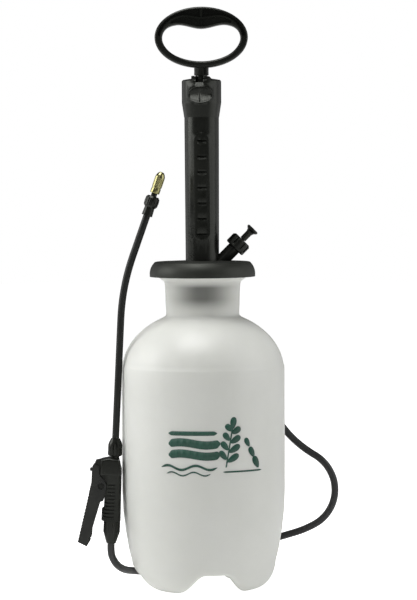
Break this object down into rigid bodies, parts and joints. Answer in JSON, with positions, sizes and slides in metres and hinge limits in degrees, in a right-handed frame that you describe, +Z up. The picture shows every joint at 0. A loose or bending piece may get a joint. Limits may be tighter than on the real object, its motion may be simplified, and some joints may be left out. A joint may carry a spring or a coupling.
{
  "type": "pump sprayer",
  "caption": "Stand-up compression sprayer: translucent tank, tall hand pump with a loop handle, relief valve, and a hose to a lever shut-off with a bent wand and a brass cone nozzle.",
  "frame": {"origin": "on the floor, under the tank's axis", "axes": "+Z up along the pump, -Y is the front with the column's finger pad, +X right, with the wand on -X"},
  "size_m": [0.3291, 0.2317, 0.72],
  "materials": {
    "tank_poly": "translucent blow-moulded polyethylene, satin",
    "black_plastic": "moulded black polypropylene, soft satin",
    "cylinder_plastic": "extruded black plastic, smooth",
    "seal_rubber": "matt black rubber",
    "rod_steel": "drawn steel, satin",
    "spring_steel": "drawn spring wire, bright",
    "dip_poly": "natural polyethylene tube",
    "strainer_poly": "natural plastic screen",
    "hose_vinyl": "black vinyl, soft sheen",
    "wand_plastic": "extruded black plastic, soft sheen",
    "nozzle_brass": "machined and knurled, slightly dulled"
  },
  "bodies": {
    "tank": {"tank": "tank_poly", "outlet_gasket": "seal_rubber", "outlet_elbow": "black_plastic", "outlet_lock_nut": "black_plastic", "outlet_hose_nut": "black_plastic", "dip_tube": "dip_poly", "dip_strainer": "strainer_poly", "hose": "hose_vinyl", "grip_front": "black_plastic", "grip_back": "black_plastic", "valve_body": "black_plastic", "grip_strainer": "strainer_poly", "valve_packing": "seal_rubber", "plunger_spring": "spring_steel", "lever_pin": "black_plastic", "hose_nut": "black_plastic", "collar_nut": "black_plastic", "wand_seal": "seal_rubber"},
    "neck_seal": {"neck_gasket": "seal_rubber"},
    "pump_head": {"lid": "black_plastic", "threaded_plug": "black_plastic", "column": "black_plastic", "column_cap": "black_plastic", "pump_cylinder": "cylinder_plastic", "rod_guide": "black_plastic", "cylinder_end_cap": "black_plastic", "relief_body": "black_plastic", "relief_nut": "black_plastic", "relief_spring": "spring_steel"},
    "check_valve": {"check_valve_disc": "seal_rubber"},
    "piston": {"piston_head": "black_plastic", "piston_cup": "seal_rubber"},
    "handle": {"handle": "black_plastic", "pump_rod": "rod_steel", "rod_pin": "rod_steel", "rod_clip": "rod_steel"},
    "relief_stem": {"relief_stem": "black_plastic", "relief_seal": "seal_rubber"},
    "lever": {"lever": "black_plastic"},
    "plunger": {"valve_plunger": "black_plastic", "plunger_seal": "seal_rubber"},
    "lock_slide": {"lock_slide": "black_plastic"},
    "wand": {"wand": "wand_plastic", "wand_sleeve": "black_plastic", "nozzle_nut": "black_plastic", "nozzle_stem": "black_plastic"},
    "nozzle_seal": {"nozzle_seal": "seal_rubber"},
    "nozzle": {"nozzle": "nozzle_brass"}
  },
  "joints": [
    {"name": "pump_lift", "type": "slide", "parent": "tank", "child": "neck_seal", "axis": [0, 0, 1], "range_m": [0, 0.05]},
    {"name": "pump_unscrew", "type": "hinge", "parent": "neck_seal", "child": "pump_head", "pos_m": [0, 0, 0.39], "axis": [0, 0, 1], "range_deg": [0, 540]},
    {"name": "check_valve", "type": "slide", "parent": "pump_head", "child": "check_valve", "axis": [0, 0, 1], "range_m": [0, 0.004]},
    {"name": "pump_stroke", "type": "slide", "parent": "pump_head", "child": "piston", "axis": [0, 0, 1], "range_m": [0, 0.25]},
    {"name": "handle_twist", "type": "hinge", "parent": "piston", "child": "handle", "pos_m": [0, 0, 0.64], "axis": [0, 0, 1], "range_deg": [0, 90]},
    {"name": "relief_pull", "type": "slide", "parent": "pump_head", "child": "relief_stem", "axis": [0.7071, 0, 0.7071], "range_m": [0, 0.005], "stiffness_N_per_m": 800, "springref_m": -0.002, "deforming": ["relief_spring"]},
    {"name": "trigger", "type": "hinge", "parent": "tank", "child": "lever", "pos_m": [-0.12643, -0.025, 0.13], "axis": [0, -1, 0], "range_deg": [0, 8], "stiffness_Nm_per_rad": 1, "springref_deg": -2.86},
    {"name": "plunger_pull", "type": "slide", "parent": "tank", "child": "plunger", "axis": [-0.9987, 0, 0.0506], "range_m": [0, 0.003], "deforming": ["plunger_spring"]},
    {"name": "lock_slide", "type": "slide", "parent": "tank", "child": "lock_slide", "axis": [-0.0506, 0, -0.9987], "range_m": [0, 0.008]},
    {"name": "wand_swivel", "type": "hinge", "parent": "tank", "child": "wand", "pos_m": [-0.1179, -0.025, 0], "axis": [0.0506, 0, 0.9987], "range_deg": [-180, 180]},
    {"name": "nozzle_advance", "type": "slide", "parent": "wand", "child": "nozzle_seal", "axis": [0.3338, 0, 0.9426], "range_m": [0, 0.00187]},
    {"name": "nozzle_twist", "type": "hinge", "parent": "nozzle_seal", "child": "nozzle", "pos_m": [-0.09885, -0.025, 0.37602], "axis": [0.3338, 0, 0.9426], "range_deg": [0, 450]}
  ],
  "couplings": [
    {"joint": "plunger_pull", "follows": "trigger", "m_per_rad": 0.0196},
    {"joint": "nozzle_twist", "follows": "nozzle_advance", "rad_per_m": 4188}
  ]
}
